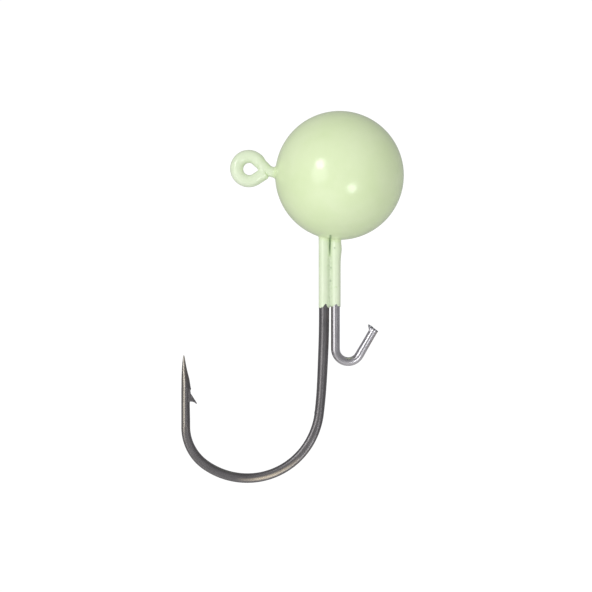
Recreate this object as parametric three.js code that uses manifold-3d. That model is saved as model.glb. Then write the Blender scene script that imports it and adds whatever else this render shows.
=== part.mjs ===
// A painted round jig head with a bait keeper: a lead ball cast around a bent hook wire and a
// keeper wire, dipped in glow paint that also coats the line eye and the upper ends of both wires.
// Millimetres, +Z up. The origin is the centre of the line eye, both wires lie in the XZ plane,
// and +X runs from the line eye towards the ball.
import * as THREE from "three";
import { mergeVertices } from "three/addons/utils/BufferGeometryUtils.js";
import Module from "manifold-3d";

const wasm = await Module();
wasm.setup();

// ---- Driving dimensions, in millimetres and degrees ----

// Wires
const HOOK_WIRE = 1.0; // diameter of the hook wire
const KEEPER_WIRE = 0.92; // diameter of the keeper wire

// Ball
const BALL_DIAMETER = 13.5; // over the paint
const BALL_X = 9.49; // line eye to ball centre, across
const BALL_DROP = 0.71; // ball centre below the line eye

// Line eye and neck
const EYE_RADIUS = 1.3; // of the loop's centreline
const EYE_NECK_SLOPE = 48; // how steeply the loop runs down into the neck
const EYE_END_SLOPE = 33; // slope of the loop's cut end, which butts against the neck
const EYE_END_LENGTH = 1.1; // straight run before that cut
const NECK_BEND_RADIUS = 1.8;
const NECK_DROP = 0.4; // neck centreline below the eye's centre

// Hook, below the neck
const SHANK_X = 7.88; // shank centreline
const BURIED_BEND_RADIUS = 2.5; // right-angled bend inside the lead
const SHANK_END = 14.91; // depth where the straight shank starts to lean
const LEAN_RADIUS = 108;
const LEAN_TURN = 5.7;
const BEND_RADIUS = 7.59;
const BEND_TURN = 119.4;
const THROAT_RADIUS = 4.89;
const LIMB_LENGTH = 4.1; // straight run from the throat to the root of the point
const POINT_LENGTH = 3.4;
const POINT_LEAN = 0.2; // the tip stands this far outside the limb's centreline
const ROOT_TAPER = 0.9; // radius of the point's hidden end, as a share of the wire's

// Barb, cut up from the inner side of the limb
const BARB_LENGTH = 1.35; // along the limb
const BARB_HEIGHT = 1.14; // tip to the limb's centreline
const BARB_OVERHANG = 0.2; // how far the tip hangs below the barb's root
const BARB_THICKNESS = 0.5;
const BARB_BUMP = 0.05; // how far the wire bulges where the sliver leaves it
const BARB_FROM_POINT = 0.25; // root of the point to the top of the barb

// Bait keeper
const KEEPER_X = 9.07; // leg centreline
const KEEPER_TOP = 1.6; // depth of the buried anchor
const ANCHOR_RADIUS = 1.2;
const ANCHOR_TAIL = 1.2;
const KEEPER_BEND_DEPTH = 18.9; // depth where the leg meets its bend
const KEEPER_BEND_RADIUS = 1.34;
const KEEPER_TURN = 150;
const KEEPER_ARM = 3.1;

// Paint
const BALL_FILM = 0.12; // lead surface to paint surface
const EYE_FILM = 0.16;
const NECK_FILM = 0.11;
const STRAND_FILM = 0.06;
const PAINT_END = 14.25; // depth where the paint on both wires stops
const WEB_TOP = 7.2; // depth where the bridge between the two wires leaves the ball's paint
const WEB_END = 14.1;
const WEB_THICKNESS = 0.34;

// The air between pieces that touch, the lap between shapes that are joined, and the facets
const AIR = 0.02;
const LAP = 0.3;
const WIRE_STEP = 0.5;
const BALL_SEGMENTS = 32;
const BALL_RINGS = 18;
const WIRE_SIDES = 12;
const POINT_RINGS = 9;

// ---- Working values ----

const HOOK_RADIUS = HOOK_WIRE / 2;
const KEEPER_RADIUS = KEEPER_WIRE / 2;
const COAT_RADIUS = BALL_DIAMETER / 2;
const LEAD_RADIUS = COAT_RADIUS - BALL_FILM;
const BALL_CENTRE = new THREE.Vector3(BALL_X, 0, -BALL_DROP);
const THROAT_TURN = 180 - LEAN_TURN - BEND_TURN;

const radians = THREE.MathUtils.degToRad;
const sine = (degrees) => Math.sin(radians(degrees));
const cosine = (degrees) => Math.cos(radians(degrees));

// ---- Bent wires ----

// A circular arc in the XZ plane that starts at a point with a heading and turns left if turn > 0.
class Bend extends THREE.Curve {
  constructor(start, heading, radius, turn) {
    super();
    this.start = start;
    this.heading = heading;
    this.turn = turn;
    this.side = Math.sign(turn);
    this.radius = radius;
  }

  getPoint(t, target = new THREE.Vector3()) {
    const now = this.heading + this.turn * t;
    const along = this.side * this.radius * (sine(now) - sine(this.heading));
    const up = this.side * this.radius * (cosine(this.heading) - cosine(now));
    return target.set(this.start.x + along, 0, this.start.z + up);
  }
}

const straight = (length) => ({ length });
const bend = (radius, turn) => ({ radius, turn });

// The stretches of a wire bent in the XZ plane, each one tangent to the last, as a list of curves.
function bentWire(start, heading, moves) {
  let point = start.clone();
  let direction = heading;
  return moves.map((move) => {
    const isBend = move.radius !== undefined;
    const ahead = new THREE.Vector3(cosine(direction), 0, sine(direction));
    const curve = isBend
      ? new Bend(point, direction, move.radius, move.turn)
      : new THREE.LineCurve3(point, point.clone().addScaledVector(ahead, move.length));
    point = curve.getPoint(1);
    direction += isBend ? move.turn : 0;
    return curve;
  });
}

// A straight stretch that lengthens a run of curves past one of its ends.
function overrun(curve, t, length) {
  const end = curve.getPoint(t);
  const outwards = curve.getTangent(t).multiplyScalar(t === 0 ? -length : length);
  const beyond = end.clone().add(outwards);
  return t === 0 ? new THREE.LineCurve3(beyond, end) : new THREE.LineCurve3(end, beyond);
}

// A round bar swept along a run of curves.
function bar(curves, radius) {
  const path = new THREE.CurvePath();
  curves.forEach((curve) => path.add(curve));
  const section = new THREE.Shape().absarc(0, 0, radius, 0, 2 * Math.PI);
  return new THREE.ExtrudeGeometry(section, {
    curveSegments: WIRE_SIDES / 2,
    steps: Math.ceil(path.getLength() / WIRE_STEP),
    extrudePath: path,
    bevelEnabled: false,
  });
}

// ---- Joining and cutting ----

// A closed geometry as a solid that can be joined and cut.
function solid(geometry) {
  const bare = geometry.clone();
  bare.deleteAttribute("normal");
  bare.deleteAttribute("uv");
  const merged = mergeVertices(bare, 1e-4);
  const vertProperties = merged.attributes.position.array;
  const triVerts = new Uint32Array(merged.index.array);
  return new wasm.Manifold(new wasm.Mesh({ numProp: 3, vertProperties, triVerts }));
}

const join = (...solids) => solids.reduce((whole, piece) => whole.add(piece));
const cut = (whole, ...tools) => tools.reduce((left, tool) => left.subtract(tool), whole);

function geometryOf(shape) {
  const { vertProperties, triVerts } = shape.getMesh();
  const geometry = new THREE.BufferGeometry();
  geometry.setAttribute("position", new THREE.BufferAttribute(vertProperties, 3));
  geometry.setIndex(new THREE.BufferAttribute(triVerts, 1));
  geometry.computeVertexNormals();
  return geometry;
}

// ---- Hook ----

// The hook wire's stretches, from the cut end of the line eye to the root of the point.
function hookStretches() {
  const loopEnd = 360 - (90 - EYE_END_SLOPE);
  const start = new THREE.Vector3(
    EYE_RADIUS * cosine(loopEnd) + EYE_END_LENGTH * cosine(EYE_END_SLOPE),
    0,
    EYE_RADIUS * sine(loopEnd) + EYE_END_LENGTH * sine(EYE_END_SLOPE),
  );
  const neckDescent =
    EYE_RADIUS * cosine(EYE_NECK_SLOPE) + NECK_DROP -
    NECK_BEND_RADIUS * (1 - cosine(EYE_NECK_SLOPE));
  const shoulder = neckDescent / sine(EYE_NECK_SLOPE);
  const neckStart =
    (EYE_RADIUS + NECK_BEND_RADIUS) * sine(EYE_NECK_SLOPE) + shoulder * cosine(EYE_NECK_SLOPE);
  return bentWire(start, 180 + EYE_END_SLOPE, [
    straight(EYE_END_LENGTH),
    bend(EYE_RADIUS, -(180 + EYE_END_SLOPE + EYE_NECK_SLOPE)),
    straight(shoulder),
    bend(NECK_BEND_RADIUS, EYE_NECK_SLOPE),
    straight(SHANK_X - BURIED_BEND_RADIUS - neckStart),
    bend(BURIED_BEND_RADIUS, -90),
    straight(SHANK_END - NECK_DROP - BURIED_BEND_RADIUS),
    bend(LEAN_RADIUS, -LEAN_TURN),
    bend(BEND_RADIUS, -BEND_TURN),
    bend(THROAT_RADIUS, -THROAT_TURN),
    straight(LIMB_LENGTH),
  ]);
}

// The needle point: a round bar that narrows ever faster to a tip and leans a little outwards.
function needlePoint(root) {
  const profile = [new THREE.Vector2(0, -LAP)];
  profile.push(new THREE.Vector2(HOOK_RADIUS * ROOT_TAPER, -LAP));
  for (let i = 0; i < POINT_RINGS; i += 1) {
    const share = i / POINT_RINGS;
    profile.push(new THREE.Vector2(HOOK_RADIUS * (1 - share ** 2), POINT_LENGTH * share));
  }
  profile.push(new THREE.Vector2(0, POINT_LENGTH));
  const geometry = new THREE.LatheGeometry(profile, WIRE_SIDES);
  const position = geometry.attributes.position;
  for (let i = 0; i < position.count; i += 1) {
    const share = Math.max(position.getY(i), 0) / POINT_LENGTH;
    position.setX(i, position.getX(i) - POINT_LEAN * share ** 2);
  }
  return geometry.rotateX(Math.PI / 2).translate(root.x, 0, root.z);
}

// The barb: a sliver raised from the limb, with its tip turned back towards the bend.
function barbWedge(root) {
  const outline = new THREE.Shape();
  outline.moveTo(0, 0);
  outline.lineTo(0, -BARB_LENGTH);
  outline.lineTo(HOOK_RADIUS, -BARB_LENGTH);
  outline.lineTo(BARB_HEIGHT, -BARB_LENGTH - BARB_OVERHANG);
  outline.lineTo(HOOK_RADIUS + BARB_BUMP, 0);
  outline.closePath();
  const wedge = new THREE.ExtrudeGeometry(outline, { depth: BARB_THICKNESS, bevelEnabled: false });
  return wedge
    .translate(0, 0, -BARB_THICKNESS / 2)
    .rotateX(Math.PI / 2)
    .translate(root.x, 0, root.z - BARB_FROM_POINT);
}

const hookRun = hookStretches();
const [eyeEnd, eyeLoop, eyeShoulder, neckBend, neck] = hookRun;
const pointRoot = hookRun.at(-1).getPoint(1);
const hookSolid = join(
  solid(bar(hookRun, HOOK_RADIUS)),
  solid(needlePoint(pointRoot)),
  solid(barbWedge(pointRoot)),
);

// ---- Bait keeper ----

// The keeper wire's stretches, from the anchor inside the lead to the cut end of the arm.
function keeperStretches() {
  const start = new THREE.Vector3(KEEPER_X + ANCHOR_RADIUS + ANCHOR_TAIL, 0, -KEEPER_TOP);
  return bentWire(start, 180, [
    straight(ANCHOR_TAIL),
    bend(ANCHOR_RADIUS, 90),
    straight(KEEPER_BEND_DEPTH - KEEPER_TOP - ANCHOR_RADIUS),
    bend(KEEPER_BEND_RADIUS, KEEPER_TURN),
    straight(KEEPER_ARM),
  ]);
}

const keeperRun = keeperStretches();
const keeperSolid = solid(bar(keeperRun, KEEPER_RADIUS));

// The room that each wire takes up, with a little air around it, for cutting the lead and the paint.
const hookRoom = solid(bar([overrun(eyeEnd, 0, AIR), ...hookRun], HOOK_RADIUS + AIR));
const keeperRoom = solid(bar([overrun(keeperRun[0], 0, AIR), ...keeperRun], KEEPER_RADIUS + AIR));

// ---- Lead ball ----

function ball(radius) {
  const sphere = new THREE.SphereGeometry(radius, BALL_SEGMENTS, BALL_RINGS);
  return solid(sphere.rotateX(Math.PI / 2).translate(...BALL_CENTRE.toArray()));
}

const ballSolid = cut(ball(LEAD_RADIUS), hookRoom, keeperRoom);

// ---- Paint coat ----

// A vertical painted sleeve on a wire, from inside the ball down to the end of the paint.
function strandSleeve(x, radius) {
  const top = new THREE.Vector3(x, 0, -BALL_DROP - COAT_RADIUS / 2);
  const end = new THREE.Vector3(x, 0, -PAINT_END);
  return solid(bar([new THREE.LineCurve3(top, end)], radius + STRAND_FILM));
}

// The film that bridges the gap between the two wires.
function paintWeb() {
  const web = new THREE.BoxGeometry(KEEPER_X - SHANK_X, WEB_THICKNESS, WEB_END - WEB_TOP);
  return solid(web.translate((KEEPER_X + SHANK_X) / 2, 0, -(WEB_TOP + WEB_END) / 2));
}

const loopSleeve = bar(
  [overrun(eyeEnd, 0, EYE_FILM), eyeEnd, eyeLoop, overrun(eyeLoop, 1, LAP)],
  HOOK_RADIUS + EYE_FILM,
);
const neckSleeve = bar(
  [overrun(eyeShoulder, 0, LAP), eyeShoulder, neckBend, neck],
  HOOK_RADIUS + NECK_FILM,
);
const coatSolid = cut(
  join(
    ball(COAT_RADIUS),
    solid(loopSleeve),
    solid(neckSleeve),
    strandSleeve(SHANK_X, HOOK_RADIUS),
    strandSleeve(KEEPER_X, KEEPER_RADIUS),
    paintWeb(),
  ),
  ball(LEAD_RADIUS + AIR),
  hookRoom,
  keeperRoom,
);

// ---- The assembly ----

function part(name, shape, color, roughness, metalness) {
  const material = new THREE.MeshStandardMaterial({ color, roughness, metalness });
  const mesh = new THREE.Mesh(geometryOf(shape), material);
  mesh.name = name;
  return mesh;
}

const jigHead = new THREE.Group();
jigHead.add(part("hook", hookSolid, 0x3e3a42, 0.3, 0.95));
jigHead.add(part("bait_keeper", keeperSolid, 0x9a9599, 0.25, 1));
jigHead.add(part("lead_ball", ballSolid, 0x6f7276, 0.6, 0.8));
jigHead.add(part("paint_coat", coatSolid, 0xcfe3ae, 0.22, 0));

export default jigHead;
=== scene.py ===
import math

import bpy
import numpy as np
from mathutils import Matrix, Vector


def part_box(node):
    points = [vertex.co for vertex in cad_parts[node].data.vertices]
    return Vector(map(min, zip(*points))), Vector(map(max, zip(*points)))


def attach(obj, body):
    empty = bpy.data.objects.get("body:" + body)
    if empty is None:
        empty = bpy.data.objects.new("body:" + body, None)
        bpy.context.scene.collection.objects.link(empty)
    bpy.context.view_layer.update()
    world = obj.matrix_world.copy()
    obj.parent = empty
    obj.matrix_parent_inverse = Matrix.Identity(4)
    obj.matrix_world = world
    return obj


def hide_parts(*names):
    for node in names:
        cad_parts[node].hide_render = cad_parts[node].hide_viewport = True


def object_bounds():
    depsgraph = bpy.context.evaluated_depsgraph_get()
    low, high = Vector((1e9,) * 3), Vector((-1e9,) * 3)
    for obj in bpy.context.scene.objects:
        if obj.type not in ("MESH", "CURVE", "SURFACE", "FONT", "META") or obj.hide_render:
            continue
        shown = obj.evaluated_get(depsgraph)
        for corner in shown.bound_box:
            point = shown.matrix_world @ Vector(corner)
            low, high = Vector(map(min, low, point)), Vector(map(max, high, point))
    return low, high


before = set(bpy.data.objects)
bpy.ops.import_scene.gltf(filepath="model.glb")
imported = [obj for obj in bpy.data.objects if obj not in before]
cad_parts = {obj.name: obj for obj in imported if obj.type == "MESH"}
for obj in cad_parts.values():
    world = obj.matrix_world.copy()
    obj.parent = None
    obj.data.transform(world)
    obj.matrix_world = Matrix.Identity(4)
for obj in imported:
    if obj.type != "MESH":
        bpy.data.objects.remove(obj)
CAD_BOX = [list(corner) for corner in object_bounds()]

# Shapes are worked out in millimetres and turned into metres when their meshes are made.
MM = 0.001

# ---- Sizes that the CAD model gives ----


def box_mm(node):
    low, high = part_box(node)
    return np.array(low) / MM, np.array(high) / MM


coat_low, coat_high = box_mm("paint_coat")
lead_low, lead_high = box_mm("lead_ball")
hook_low, hook_high = box_mm("hook")
keeper_low, keeper_high = box_mm("bait_keeper")

BALL_RADIUS = coat_high[1]
BALL_CENTRE = np.array([coat_high[0] - BALL_RADIUS, 0.0, coat_high[2] - BALL_RADIUS])
LEAD_RADIUS = lead_high[1]
HOOK_RADIUS = hook_high[1]
KEEPER_RADIUS = keeper_high[1]
SHANK_X = hook_high[0] - HOOK_RADIUS
KEEPER_X = keeper_low[0] + KEEPER_RADIUS
KEEPER_BOTTOM = keeper_low[2] + KEEPER_RADIUS
HOOK_BOTTOM = hook_low[2] + HOOK_RADIUS

# ---- Bends of the wires, as the CAD model has them: radii in millimetres, turns in degrees ----

EYE_RADIUS = 1.3
EYE_END_SLOPE = 33
EYE_END_LENGTH = 1.1
EYE_NECK_SLOPE = 48
NECK_BEND_RADIUS = 1.8
NECK_DROP = 0.4
BURIED_BEND_RADIUS = 2.5
LEAN_RADIUS = 108
LEAN_TURN = 5.7
BEND_RADIUS = 7.59
BEND_TURN = 119.4
THROAT_RADIUS = 4.89
THROAT_TURN = 180 - LEAN_TURN - BEND_TURN
LIMB_LENGTH = 4.1
POINT_LENGTH = 3.4
KEEPER_TOP = 1.6
ANCHOR_RADIUS = 1.2
ANCHOR_TAIL = 1.2
KEEPER_BEND_RADIUS = 1.34
KEEPER_TURN = 150
KEEPER_ARM = 3.1

# Where some of the stretches stand in the hook's run, and then in the keeper's.
EYE_END, LOOP, SHOULDER, NECK_BEND, NECK = range(5)
SHANK, LEAN, BEND, THROAT, LIMB, POINT = range(6, 12)
LEG, ARM = 2, 4

# How many spots of each stretch are tried to find the lowest point of the bend.
BOTTOM_SPOTS = 400


def rad(degrees):
    return math.radians(degrees)


def smoothstep(value, low, high):
    share = np.clip((value - low) / (high - low), 0.0, 1.0)
    return share * share * (3.0 - 2.0 * share)


def bell(value, centre, width):
    return np.exp(-(((value - centre) / width) ** 2))


# ---- Bent wires: straight and round stretches in the XZ plane, each tangent to the last ----


class Stretch:
    """One straight (radius None) or round stretch, with its start, heading and length."""

    def __init__(self, start, heading, length=0.0, radius=None, turn=0.0):
        self.start = np.array(start, float)
        self.heading = heading
        self.radius = radius
        self.turn = turn
        self.length = length if radius is None else radius * abs(rad(turn))
        if radius is not None:
            self.side = math.copysign(1.0, turn)
            left = np.array([-math.sin(heading), math.cos(heading)])
            self.centre = self.start + self.side * radius * left

    def at(self, along):
        """Points (x, z) and headings at distances along the stretch."""
        along = np.asarray(along, float)
        if self.radius is None:
            ahead = np.array([math.cos(self.heading), math.sin(self.heading)])
            return self.start + along[..., None] * ahead, np.full(along.shape, self.heading)
        now = self.heading + self.side * along / self.radius
        right = np.stack([np.sin(now), -np.cos(now)], -1)
        return self.centre + self.side * self.radius * right, now

    def nearest(self, points):
        """For (N, 3) points: how far off the centreline in its plane, and how far along it."""
        flat = points[:, [0, 2]]
        if self.radius is None:
            ahead = np.array([math.cos(self.heading), math.sin(self.heading)])
            along = np.clip((flat - self.start) @ ahead, 0.0, self.length)
            spot = self.start + along[:, None] * ahead
            return np.linalg.norm(flat - spot, axis=1), along
        middle = self.heading + rad(self.turn) / 2 - self.side * math.pi / 2
        out = flat - self.centre
        angle = np.arctan2(out[:, 1], out[:, 0]) - middle
        angle = (angle + math.pi) % (2 * math.pi) - math.pi
        half = abs(rad(self.turn)) / 2
        angle = np.clip(angle, -half, half)
        bearing = middle + angle
        spot = self.centre + self.radius * np.stack([np.cos(bearing), np.sin(bearing)], -1)
        return np.linalg.norm(flat - spot, axis=1), (half + self.side * angle) * self.radius

    def distance(self, points):
        """Distance from (N, 3) points to the stretch's centreline."""
        return np.hypot(self.nearest(points)[0], points[:, 1])

    def behind(self, points):
        """How far (N, 3) points lie behind the stretch's start."""
        ahead = np.array([math.cos(self.heading), math.sin(self.heading)])
        return (self.start - points[:, [0, 2]]) @ ahead


def bent_wire(start, heading, moves):
    """Stretches from moves: a number is a straight length, a pair is a bend's radius and turn."""
    run = []
    point = np.array(start, float)
    direction = rad(heading)
    for move in moves:
        if isinstance(move, tuple):
            stretch = Stretch(point, direction, radius=move[0], turn=move[1])
            direction += rad(move[1])
        else:
            stretch = Stretch(point, direction, length=move)
        point = stretch.at(stretch.length)[0]
        run.append(stretch)
    return run


def run_length(run):
    return sum(stretch.length for stretch in run)


def sample(run, along):
    """Points (x, z) and headings at distances along a whole run of stretches."""
    points = np.zeros((len(along), 2))
    headings = np.zeros(len(along))
    begin = 0.0
    for index, stretch in enumerate(run):
        last = index == len(run) - 1
        here = (along >= begin) & ((along < begin + stretch.length) | last)
        points[here], headings[here] = stretch.at(along[here] - begin)
        begin += stretch.length
    return points, headings


def hook_run():
    loop_end = rad(EYE_END_SLOPE - 90)
    end = rad(EYE_END_SLOPE)
    start = (
        EYE_RADIUS * math.cos(loop_end) + EYE_END_LENGTH * math.cos(end),
        EYE_RADIUS * math.sin(loop_end) + EYE_END_LENGTH * math.sin(end),
    )
    slope = rad(EYE_NECK_SLOPE)
    descent = EYE_RADIUS * math.cos(slope) + NECK_DROP
    descent -= NECK_BEND_RADIUS * (1 - math.cos(slope))
    shoulder = descent / math.sin(slope)
    neck_start = (EYE_RADIUS + NECK_BEND_RADIUS) * math.sin(slope) + shoulder * math.cos(slope)
    moves = [
        EYE_END_LENGTH,
        (EYE_RADIUS, -(180 + EYE_END_SLOPE + EYE_NECK_SLOPE)),
        shoulder,
        (NECK_BEND_RADIUS, EYE_NECK_SLOPE),
        SHANK_X - BURIED_BEND_RADIUS - neck_start,
        (BURIED_BEND_RADIUS, -90),
        0.0,
        (LEAN_RADIUS, -LEAN_TURN),
        (BEND_RADIUS, -BEND_TURN),
        (THROAT_RADIUS, -THROAT_TURN),
        LIMB_LENGTH,
        POINT_LENGTH,
    ]
    # The straight shank is as long as it takes for the bend to reach the depth it has in CAD.
    trial = bent_wire(start, 180 + EYE_END_SLOPE, moves)
    bottoms = []
    for stretch in trial[LEAN:LIMB]:
        spots = stretch.at(np.linspace(0, stretch.length, BOTTOM_SPOTS))[0]
        bottoms.append(spots[:, 1].min())
    moves[SHANK] = min(bottoms) - HOOK_BOTTOM
    return bent_wire(start, 180 + EYE_END_SLOPE, moves)


def keeper_run():
    start = (KEEPER_X + ANCHOR_RADIUS + ANCHOR_TAIL, -KEEPER_TOP)
    leg = -KEEPER_TOP - ANCHOR_RADIUS - (KEEPER_BOTTOM + KEEPER_BEND_RADIUS)
    moves = [
        ANCHOR_TAIL,
        (ANCHOR_RADIUS, 90),
        leg,
        (KEEPER_BEND_RADIUS, KEEPER_TURN),
        KEEPER_ARM,
    ]
    return bent_wire(start, 180, moves)


HOOK = hook_run()
KEEPER = keeper_run()


# ---- Shapes as signed distances, in millimetres: below zero inside a piece ----


def smooth_union(one, other, reach):
    reach = np.maximum(reach, 1e-6)
    overlap = np.maximum(reach - np.abs(one - other), 0.0) / reach
    return np.minimum(one, other) - overlap * overlap * reach / 4


def rounded_overlap(one, other, edge):
    """The overlap of two shapes, with its edges rounded to a radius."""
    one, other = one + edge, other + edge
    corner = np.hypot(np.maximum(one, 0.0), np.maximum(other, 0.0))
    return corner + np.minimum(np.maximum(one, other), 0.0) - edge


def polygon(x, z, corners):
    """Signed distance to a closed outline in the XZ plane."""
    nearest = np.full(x.shape, np.inf)
    inside = np.zeros(x.shape, bool)
    for (x0, z0), (x1, z1) in zip(corners, corners[1:] + corners[:1]):
        ahead = (x - x0) * (x1 - x0) + (z - z0) * (z1 - z0)
        share = np.clip(ahead / ((x1 - x0) ** 2 + (z1 - z0) ** 2), 0.0, 1.0)
        gap = np.hypot(x - x0 - share * (x1 - x0), z - z0 - share * (z1 - z0))
        nearest = np.minimum(nearest, gap)
        crosses = (z0 > z) != (z1 > z)
        rise = z1 - z0 if z1 != z0 else 1e-9
        inside ^= crosses & (x < x0 + (z - z0) * (x1 - x0) / rise)
    return np.where(inside, -nearest, nearest)


SINE_WAVES = 6


def waves(points, height, scale, seed):
    """A smooth pseudo-random field up to a height, from a few sine waves."""
    rng = np.random.default_rng(seed)
    total = np.zeros(len(points))
    for _ in range(SINE_WAVES):
        wave = rng.normal(size=3) * scale
        total += np.sin(points @ wave + rng.uniform(0, 2 * math.pi))
    return height * (total / SINE_WAVES)


# ---- Meshes from signed distances ----

# Settling of a mesh: how far each vertex goes towards the mean of its neighbours, the least square
# of the slope that is counted on, and the longest move back to the surface.
EVENING = 0.6
LEAST_STEEPNESS = 0.05
LONGEST_MOVE = 0.05


def gradient(field, points, reach=0.004):
    slopes = []
    for axis in range(3):
        step = np.zeros(3)
        step[axis] = reach
        slopes.append((field(points + step) - field(points - step)) / (2 * reach))
    return np.stack(slopes, -1)


def unit(vectors):
    return vectors / np.maximum(np.linalg.norm(vectors, axis=1, keepdims=True), 1e-9)


def surface_net(field, low, high, step):
    """Quads of the field's zero surface on a regular grid."""
    counts = np.ceil((high - low) / step).astype(int) + 1
    axes = [low[a] + step * np.arange(counts[a]) for a in range(3)]
    values = np.zeros(counts, np.float32)
    y, z = np.meshgrid(axes[1], axes[2], indexing="ij")
    for i, x in enumerate(axes[0]):
        spots = np.stack([np.full(y.size, x), y.ravel(), z.ravel()], -1)
        values[i] = field(spots).reshape(y.shape)
    inside = values < 0
    cells = tuple(counts - 1)
    crossing = np.zeros(cells, bool)
    first = inside[:-1, :-1, :-1]
    for corner in range(1, 8):
        a, b, c = corner >> 2, (corner >> 1) & 1, corner & 1
        other = inside[a : a + cells[0], b : b + cells[1], c : c + cells[2]]
        crossing |= other != first
    number = np.full(cells, -1, np.int64)
    spots = np.argwhere(crossing)
    number[crossing] = np.arange(len(spots))
    vertices = low + (spots + 0.5) * step
    quads = []
    for axis in range(3):
        u, v = (axis + 1) % 3, (axis + 2) % 3
        change = inside != np.roll(inside, -1, axis)
        change[tuple(slice(-1, None) if a == axis else slice(None) for a in range(3))] = False
        edges = np.argwhere(change)
        kept = (edges[:, u] > 0) & (edges[:, v] > 0)
        kept &= (edges[:, u] < cells[u]) & (edges[:, v] < cells[v])
        edges = edges[kept]
        corners = []
        for du, dv in ((1, 1), (0, 1), (0, 0), (1, 0)):
            cell = edges.copy()
            cell[:, u] -= du
            cell[:, v] -= dv
            corners.append(number[tuple(cell.T)])
        quad = np.stack(corners, -1)
        flip = ~inside[tuple(edges.T)]
        quad[flip] = quad[flip][:, ::-1]
        quads.append(quad)
    return vertices, np.concatenate(quads)


def settle(vertices, quads, field, rounds):
    """Evens out the vertices along the surface and puts them exactly on it."""
    count = len(vertices)
    one = quads.T.ravel()
    two = np.roll(quads, -1, axis=1).T.ravel()
    weight = np.maximum(np.bincount(one, minlength=count), 1)[:, None]
    for _ in range(rounds):
        sums = [np.bincount(one, vertices[two, axis], count) for axis in range(3)]
        mean = np.stack(sums, -1) / weight
        vertices = vertices + EVENING * (mean - vertices)
        for _ in range(2):
            slope = gradient(field, vertices)
            steep = np.maximum((slope**2).sum(1), LEAST_STEEPNESS)
            move = np.clip(field(vertices) / steep, -LONGEST_MOVE, LONGEST_MOVE)
            vertices = vertices - move[:, None] * slope
    return vertices


def field_surface(field, low, high, step, rounds=3):
    vertices, quads = surface_net(field, np.array(low), np.array(high), step)
    vertices = settle(vertices, quads, field, rounds)
    return vertices, quads, unit(gradient(field, vertices))


def make_mesh(name, vertices_mm, faces, normals):
    mesh = bpy.data.meshes.new(name)
    mesh.from_pydata((vertices_mm * MM).tolist(), [], faces.tolist())
    mesh.shade_smooth()
    mesh.normals_split_custom_set_from_vertices(normals.tolist())
    piece = bpy.data.objects.new(name, mesh)
    bpy.context.scene.collection.objects.link(piece)
    return piece


def add_values(piece, name, values):
    """Stores one number or vector per vertex, for the materials."""
    kind = "FLOAT_VECTOR" if values.ndim == 2 else "FLOAT"
    layer = piece.data.attributes.new(name, kind, "POINT")
    slot = "vector" if values.ndim == 2 else "value"
    layer.data.foreach_set(slot, values.astype(np.float32).ravel())


def wire_place(run, points):
    """Distance along a run for each point, and its offsets to the run's left and towards +Y."""
    best = np.full(len(points), np.inf)
    along = np.zeros(len(points))
    begin = 0.0
    for stretch in run:
        gap, here = stretch.nearest(points)
        closer = gap < best - 1e-9
        best[closer] = gap[closer]
        along[closer] = begin + here[closer]
        begin += stretch.length
    spots, headings = sample(run, along)
    left = np.stack([-np.sin(headings), np.cos(headings)], -1)
    across = ((points[:, [0, 2]] - spots) * left).sum(1)
    return along, across, points[:, 1]


# ---- Hook ----

HOOK_GRID = 0.07

# Thickness of the wire along the hook, as a share of the radius that it has at the eye.
SHANK_SCALE = 1.075
MID_BEND_SCALE = 0.99
THROAT_SWELL = 0.02
LIMB_SCALE = 0.925

# The bend is forged: its section is flatter by the one and squarer by the other.
FORGED_FLATNESS = 0.12
FORGED_SQUARENESS = 0.9

# Where the bend strays outwards from its round centreline: how far, how far along and how wide.
STRAYS = ((0.04, 9, 2.5), (0.008, 19, 3.5))

# Outline of the needle point above its root: height, outer side and inner side, from the limb's
# centreline.
POINT_HEIGHTS = (0.0, 0.9, 1.9, 2.7, 3.25, 3.42)
POINT_OUTER = (-0.455, -0.45, -0.415, -0.35, -0.275, -0.24)
POINT_INNER = (0.53, 0.39, 0.135, -0.02, -0.115, -0.15)
POINT_EDGE = 0.03
POINT_OVERLAP = 0.3

# Outline of the barb, from the limb's centreline and the root of the point.
BARB = [
    (0.0, -0.02),
    (0.53, -0.02),
    (0.56, -0.09),
    (0.47, -0.31),
    (0.52, -0.62),
    (1.12, -1.53),
    (1.19, -1.62),
    (1.11, -1.69),
    (0.98, -1.57),
    (0.80, -1.48),
    (0.56, -1.43),
    (0.36, -1.47),
    (0.0, -1.47),
]
BARB_HALF_WIDTH = 0.34
BARB_TIP_HALF_WIDTH = 0.14
BARB_EDGE = 0.035
BARB_BLEND = 0.05

# The sliver of the barb was cut out of the inner side of the limb below it.
SHAVE_DEPTH = 0.035
SHAVE_LENGTH = 2.4
SHAVE_ABOVE = 0.3

# Boxes that hold all of the point and all of the barb, from the root of the point.
POINT_BOX_RIGHT = 3.0
POINT_BOX_LOW = -0.4
BARB_BOX_CENTRE = (0.6, -0.8)
BARB_BOX_HALF = 1.6

POINT_ROOT = HOOK[LIMB].at(HOOK[LIMB].length)[0]
SHANK_FROM = run_length(HOOK[:SHANK])
BEND_FROM = run_length(HOOK[:LEAN])
THROAT_FROM = run_length(HOOK[:THROAT])
LIMB_FROM = run_length(HOOK[:LIMB])


def hook_radius(along):
    scale = 1 + (SHANK_SCALE - 1) * smoothstep(along, SHANK_FROM - 2, SHANK_FROM)
    scale += (MID_BEND_SCALE - SHANK_SCALE) * smoothstep(along, BEND_FROM + 3, BEND_FROM + 11)
    scale += THROAT_SWELL * smoothstep(along, THROAT_FROM - 5, THROAT_FROM - 1)
    narrow = smoothstep(along, LIMB_FROM - 4.5, LIMB_FROM + 0.5)
    return HOOK_RADIUS * (scale + (LIMB_SCALE - scale) * narrow)


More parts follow.
